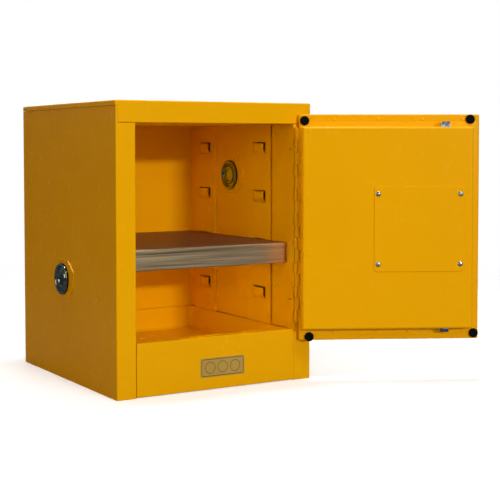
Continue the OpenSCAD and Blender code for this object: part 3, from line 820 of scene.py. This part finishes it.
def vent_cap(side, outside):
    """A chrome plug: a flat middle, a ridge and a rolled rim, on a black ring that paints the
    shade and dark reflection of the cap's chrome side wall.
    """
    wall, facing = "left" if side < 0 else "right", "outer" if outside else "inner"
    name = f"{wall}_vent_{facing}_cap"
    out = side if outside else -side
    seat = (HALF_W + VENT_RISE + 0.1) if outside else (LINER_X - VENT_RISE - 0.1)
    place = (side * seat, VENT_Y, VENT_Z[side])
    axis = (out, 0, 0)
    face = bmesh.new()
    lathe(face, [(0, 1.7), (10.5, 1.7), (12.6, 2.1), (13.8, 3.3), (15.0, 4.2), (16.6, 4.6),
                 (18.2, 4.2), (19.4, 3.2), (20.6, 2.0), (22.6, 1.5), (24.4, 1.5), (25.2, 2.6),
                 (25.9, 4.0), (26.8, 5.2), (28.0, 5.9), (29.2, 6.0), (30.6, 5.7), (31.7, 5.0),
                 (32.3, 4.2), (32.4, 3.4), (31.8, 3.0), (29, 0.8), (24.3, 0.2), (24.3, -8.9),
                 (0, -8.9)], place, axis, 96)
    make_piece(name + "_face", face, [name])
    # Painted shade: a black rubber ring stands in for the cap's chrome side wall, which reflects
    # dark surroundings.
    painted_shade_ring = bmesh.new()
    lathe(painted_shade_ring, [(24.45, 0.0), (24.45, 0.4), (29.2, 0.9), (31.3, 2.9), (31.8, 2.7), (31.8, 0.4),
                   (31.4, 0.0), (24.45, 0.0)], place, axis, 96)
    make_piece(name + "_gasket", painted_shade_ring, [name], material=MATERIALS["black_rubber"],
               slot="black_rubber")

# ---------------------------------------------------------------- door


def ring_at(outline, depth):
    """An outline in X and Z, set at a depth."""
    return [(p.x, deep(depth), p.y) for p in outline]


def handle_ring(depth, radii, angles):
    """A ring round the handle's axis, with a radius for each angle."""
    return [(HANDLE[0] + r * math.cos(a), deep(depth), HANDLE[1] + r * math.sin(a))
            for r, a in zip(radii, angles)]


def door_outer_pan():
    """The skin with the handle's hole, its rounded edge, and the flange round the back."""
    bm = bmesh.new()
    low, high = (DOOR_LEFT, DOOR_Z[0]), (DOOR_RIGHT, DOOR_Z[1])
    r = 2.4
    window = rect_outline((low[0] + 22, low[1] + 22), (high[0] - 15, high[1] - 22), 2)
    rings = [ring_at(window, FLANGE)]
    near_flange = [(r * (1 - math.sin(a)), FLANGE - r * (1 - math.cos(a))) for a in quarter(5)]
    near_skin = [(r * (1 - math.cos(a)), SKIN + r * (1 - math.sin(a))) for a in quarter(5)]
    for inset, depth in near_flange + near_skin:
        rings.append(ring_at(rect_outline(low, high, max(3.0 - inset, 0.5), 5, inset), depth))
    made = loft(bm, rings)
    angles = circle(72)
    hole = ring_of(bm, handle_ring(SKIN, [HANDLE_HOLE] * len(angles), angles))
    fill_between(bm, made[-1], hole)
    bmesh.ops.recalc_face_normals(bm, faces=bm.faces)
    skin_faces = [f for f in bm.faces if abs(f.calc_center_median().y - deep(SKIN)) < 0.01]
    bm.normal_update()
    if skin_faces[0].normal.y > 0:
        bmesh.ops.reverse_faces(bm, faces=bm.faces)
    make_piece("door_outer_skin", bm, ["door_outer_pan"], on_door=True, solid=SHEET)


def door_inner_pan():
    """The inner pan: a brim, a small foot bend, straight sides and a well rounded face edge."""
    bm = bmesh.new()
    low, high = (PAN_X[0], PAN_Z[0]), (PAN_X[1], PAN_Z[1])
    brim = rect_outline((BRIM_LEFT, BRIM_Z[0]), (PAN_X[1] + 1.6, BRIM_Z[1]), 3.0)
    base = FLANGE + SHEET
    rings = [ring_at(brim, base)]
    foot, edge = 1.5, 5.0
    for a in quarter(4):
        grow = foot * (1 - math.sin(a))
        outline = rect_outline(low, high, 2.0 + grow, 5, -grow)
        rings.append(ring_at(outline, base + foot * (1 - math.cos(a))))
    for a in quarter(7):
        inset = edge * (1 - math.cos(a))
        outline = rect_outline(low, high, max(2.6 - inset, 0.6), 5, inset)
        rings.append(ring_at(outline, FACE - edge * (1 - math.sin(a))))
    loft(bm, rings, cap_last=True)
    face_towards(bm, (0, 1, 0))
    make_piece("door_inner_skin", bm, ["door_inner_pan"], on_door=True, solid=SHEET)


def cover_plate():
    bm = bmesh.new()
    x, z, wide, tall = PLATE
    low, high = (x - wide / 2, z - tall / 2), (x + wide / 2, z + tall / 2)
    rings = [
        ring_at(rect_outline(low, high, 6 - inset, 6, inset), FACE + depth)
        for inset, depth in ((0.0, 0.05), (0.0, 1.1), (0.25, 1.7), (0.8, 2.0))
    ]
    loft(bm, rings, cap_first=True, cap_last=True)
    bmesh.ops.recalc_face_normals(bm, faces=bm.faces)
    make_piece("latch_cover_sheet", bm, ["latch_cover_plate"], on_door=True)


def cover_screws():
    """Domed heads with a socket each, and a small cross in its floor."""
    bm = bmesh.new()
    x, z, wide, tall = PLATE
    for sx in (-1, 1):
        for sz in (-1, 1):
            place = (x + sx * (wide / 2 - 8), deep(FACE + 2.0), z + sz * (tall / 2 - 15))
            lathe(bm, [(0, -6), (2, -6), (2, 0), (5.3, 0.02), (5.3, 0.5), (4.6, 1.3), (3.4, 1.9),
                       (2.0, 2.15), (1.6, 1.0), (0, 1.0)], place, (0, 1, 0), 40)
            for turn in (0.35, 0.35 + math.pi / 2):
                old = set(bm.verts)
                block(bm, (-1.6, 1.6), (0.9, 1.25), (-0.35, 0.35))
                spin = Matrix.Translation(Vector(place)) @ Matrix.Rotation(turn, 4, "Y")
                bmesh.ops.transform(bm, matrix=spin, verts=[v for v in bm.verts if v not in old])
    make_piece("cover_screw_heads", bm, ["cover_plate_screws"], on_door=True)


def door_fasteners():
    """Rivets on the flange, on the brim, and along the hinge side of the inner face."""
    bm = bmesh.new()
    dome = [(3.6, 0), (3.55, 0.35), (3.1, 0.9), (2.2, 1.25), (1.1, 1.4), (0, 1.42)]
    low_dome = [(3.6, 0), (3.5, 0.3), (2.6, 0.7), (1.2, 0.88), (0, 0.9)]
    rows = (
        (dome, FLANGE, [(HINGE.x - u, DOOR_Z[1] - 10) for u in (77, 168, 259, 342)]),
        (dome, FLANGE + SHEET, [(HINGE.x - u, BRIM_Z[0] + 6) for u in (77, 168, 231, 346)]),
        (low_dome, FACE, [(PAN_X[1] - 14, z) for z in (118, 261, 366, 510)]),
    )
    for profile, depth, places in rows:
        for x, z in places:
            lathe(bm, profile, (x, deep(depth), z), (0, 1, 0), 24)
    make_piece("door_rivet_heads", bm, ["door_rivets"], on_door=True)


def door_bumpers():
    """Rubber discs near the corners, each at its own distance from the hinge and height."""
    bm = bmesh.new()
    for u, z in ((16, 532), (357, 535), (26, 90.5), (367, 95)):
        place = (HINGE.x - u, deep(FLANGE + SHEET + 0.05), z)
        lathe(bm, [(0, 0), (8.6, 0), (9.3, 0.3), (9.5, 0.9), (9.5, 2.2), (9.2, 2.9), (8.5, 3.3),
                   (7.4, 3.4), (3.2, 3.4), (2.7, 3.1), (2.5, 2.2), (0, 2.2)], place, (0, 1, 0), 48)
    make_piece("door_bumper_discs", bm, ["door_bumpers"], on_door=True)


def handle_dish():
    """The round dish that the handle sits in: a turned moulding with a soft rim."""
    bm = bmesh.new()
    profile = [(6.6, 2.5), (40, 2.5), (44, 2.0), (46.6, 0.4), (47.8, -2.2), (48.4, -8),
               (48.9, -13.6), (49.8, -15.6), (51.4, -16.4), (54.8, -16.5), (56.8, -16.2),
               (57.8, -15.6), (58.0, -15.05), (57.4, -15.02), (50.3, -15.02), (49.9, -14.6),
               (49.6, -2), (47.6, 2.4), (43.6, 4.0), (6.6, 4.0), (6.6, 2.5)]
    lathe(bm, [(r, -d) for r, d in profile], (HANDLE[0], FRONT, HANDLE[1]), (0, -1, 0), 112)
    bmesh.ops.remove_doubles(bm, verts=bm.verts, dist=0.001)
    bmesh.ops.recalc_face_normals(bm, faces=bm.faces)
    make_piece("handle_dish", bm, ["handle_cup"], on_door=True, sharp=50)


def grip_radius(angle):
    """How far the handle reaches from its middle: an upright bar, blended into its hub."""
    across, along = abs(math.cos(angle)), abs(math.sin(angle))
    half_width, straight, hub, tip, blend = 9.0, 35.0, 17.0, 43.5, 8.0
    bar = half_width / across if across > 1e-6 else 1e9
    if bar * along > straight:
        bar = straight * along + math.sqrt(half_width ** 2 - (straight * across) ** 2)
    return (bar ** blend + hub ** blend) ** (1 / blend) if bar < tip else bar


def turn_handle():
    """The grip, as rings from the dish outwards: its sides, its top, and the lock's well."""
    bm = bmesh.new()
    angles = circle(160)
    outline = [min(44.0, grip_radius(a)) for a in angles]
    sides = ((-7.0, 1.2), (-7.35, 0.35), (-8.0, 0.0), (-11.6, 0.25), (-12.9, 0.8), (-13.7, 1.7),
             (-14.0, 3.0))
    well = ((-14.3, 12.6), (-14.5, 11.6), (-14.4, 10.6), (-14.0, 10.1), (-8.0, 10.1))
    rings = [handle_ring(depth, [r - inset for r in outline], angles) for depth, inset in sides]
    rings += [handle_ring(depth, [radius] * len(angles), angles) for depth, radius in well]
    loft(bm, rings, cap_first=True, cap_last=True)
    bmesh.ops.recalc_face_normals(bm, faces=bm.faces)
    lathe(bm, [(0, 4.0), (16.5, 4.0), (17.0, 4.5), (17.0, 7.4), (0, 7.4)],
          (HANDLE[0], FRONT, HANDLE[1]), (0, -1, 0), 64)
    make_piece("turn_handle_grip", bm, ["turn_handle"], on_door=True, sharp=40)


def key_lock():
    """The lock's plug, with a keyway cut into its face."""
    bm = bmesh.new()
    angles = circle(64)
    profile = ((-8.05, 9.4), (-8.3, 9.95), (-14.7, 9.95), (-15.1, 9.5), (-15.2, 8.9),
               (-15.2, 7.2), (-14.9, 6.9))
    rings = [handle_ring(depth, [radius] * len(angles), angles) for depth, radius in profile]
    made = loft(bm, rings, cap_first=True)
    mouth, floor = (
        ring_of(bm, [(HANDLE[0] + x, deep(d), HANDLE[1] + z)
                     for x, z in ((-0.9, -3.6), (0.9, -3.6), (0.9, 3.6), (-0.9, 3.6))])
        for d in (-14.9, -12.0)
    )
    fill_between(bm, made[-1], mouth)
    bridge(bm, mouth, floor)
    bm.faces.new(floor)
    bmesh.ops.recalc_face_normals(bm, faces=bm.faces)
    make_piece("lock_plug", bm, ["lock_cylinder"], on_door=True)


def hinge_leaves():
    """Rolled knuckles on a strip each: the frame's on the jamb, the door's on the pan."""
    frame_bm, door_bm = bmesh.new(), bmesh.new()
    r, chamfer = KNUCKLE_RADIUS, 0.4
    pan_edge, strip = PAN_X[1], (deep(-5), deep(-3.8))
    for i in range(KNUCKLES):
        low = HINGE_Z[0] + i * KNUCKLE_PITCH + KNUCKLE_GAP
        high = HINGE_Z[0] + (i + 1) * KNUCKLE_PITCH - KNUCKLE_GAP
        profile = [(0, low), (r - chamfer, low), (r, low + chamfer), (r, high - chamfer),
                   (r - chamfer, high), (0, high)]
        bm = door_bm if i % 2 else frame_bm
        lathe(bm, profile, (HINGE.x, HINGE.y, 0), (0, 0, 1), 32)
        if i % 2:
            block(bm, (pan_edge + 0.2, HINGE.x), strip, (low, high))
        else:
            block(bm, (HINGE.x - r, HINGE.x - r + SHEET), (HINGE.y, deep(-1)), (low, high))
    block(frame_bm, (HINGE.x - r, JAMB_X - 0.05), (deep(-3.3), deep(22)), HINGE_Z)
    block(door_bm, (pan_edge + 0.05, HINGE.x - r - 0.25), strip, HINGE_Z)
    block(door_bm, (pan_edge + 0.05, pan_edge + SHEET), (deep(-5), deep(15)), HINGE_Z)
    make_piece("hinge_frame_leaf_rolled", frame_bm, ["hinge_frame_leaf"], bevel=0.2)
    make_piece("hinge_door_leaf_rolled", door_bm, ["hinge_door_leaf"], on_door=True, bevel=0.2)


def label():
    """A plain label: its film, with a printed border and three empty rings."""
    low, high = (-40.0, 25.0), (61.0, 63.5)
    back, front = deep(-0.05), deep(-0.3)
    printed = front - 0.04

    def upright(outline, y):
        return [(p.x, y, p.y) for p in outline]

    film = bmesh.new()
    rings = [upright(rect_outline(low, high, 4 - inset, 6, inset), y)
             for y, inset in ((back, 0.0), (front + 0.05, 0.0), (front, 0.1))]
    loft(film, rings, cap_first=True, cap_last=True)
    bmesh.ops.recalc_face_normals(film, faces=film.faces)
    make_piece("sill_label_film", film, ["sill_label"])
    ink = bmesh.new()
    loft(ink, [upright(rect_outline(low, high, 7 - inset, 6, inset), printed)
               for inset in (2.2, 3.3)])
    for centre in (-18.0, 10.5, 39.0):
        loft(ink, [[(centre + r * math.cos(a), printed, 44.2 + r * math.sin(a))
                    for a in circle(48)] for r in (11.6, 10.6)])
    face_towards(ink, (0, -1, 0))
    make_piece("sill_label_print", ink, ["sill_label"], material=label_ink(), solid=0.03)


for side in (-1, 1):
    side_panel(side)
    inner_wall(side)
    for which in STANDARD_Y:
        standard(side, which)
    for outside in (True, False):
        vent_cap(side, outside)
top_cover()
sill()
sump_tray()
shelf()
door_outer_pan()
door_inner_pan()
cover_plate()
cover_screws()
door_fasteners()
door_bumpers()
handle_dish()
turn_handle()
key_lock()
hinge_leaves()
label()

# CAD nodes that stay as they are, with softened edges or a finish of their own
CAD_BEVELS = {
    "back_panel": 0.7, "ceiling_liner": 0.3, "upper_bolt": 0.6,
    "lower_bolt": 0.6, "ground_nuts": 0.3, "ground_stud": 0.4,
}
CAD_MATERIALS = dict.fromkeys(("upper_bolt", "lower_bolt"), bright_zinc())
for name, node in NODES.items():
    node.data.materials.clear()
    node.data.materials.append(CAD_MATERIALS.get(name, MATERIALS[SLOT_OF[name]]))
    if name in CAD_BEVELS:
        add_bevel(node, CAD_BEVELS[name])
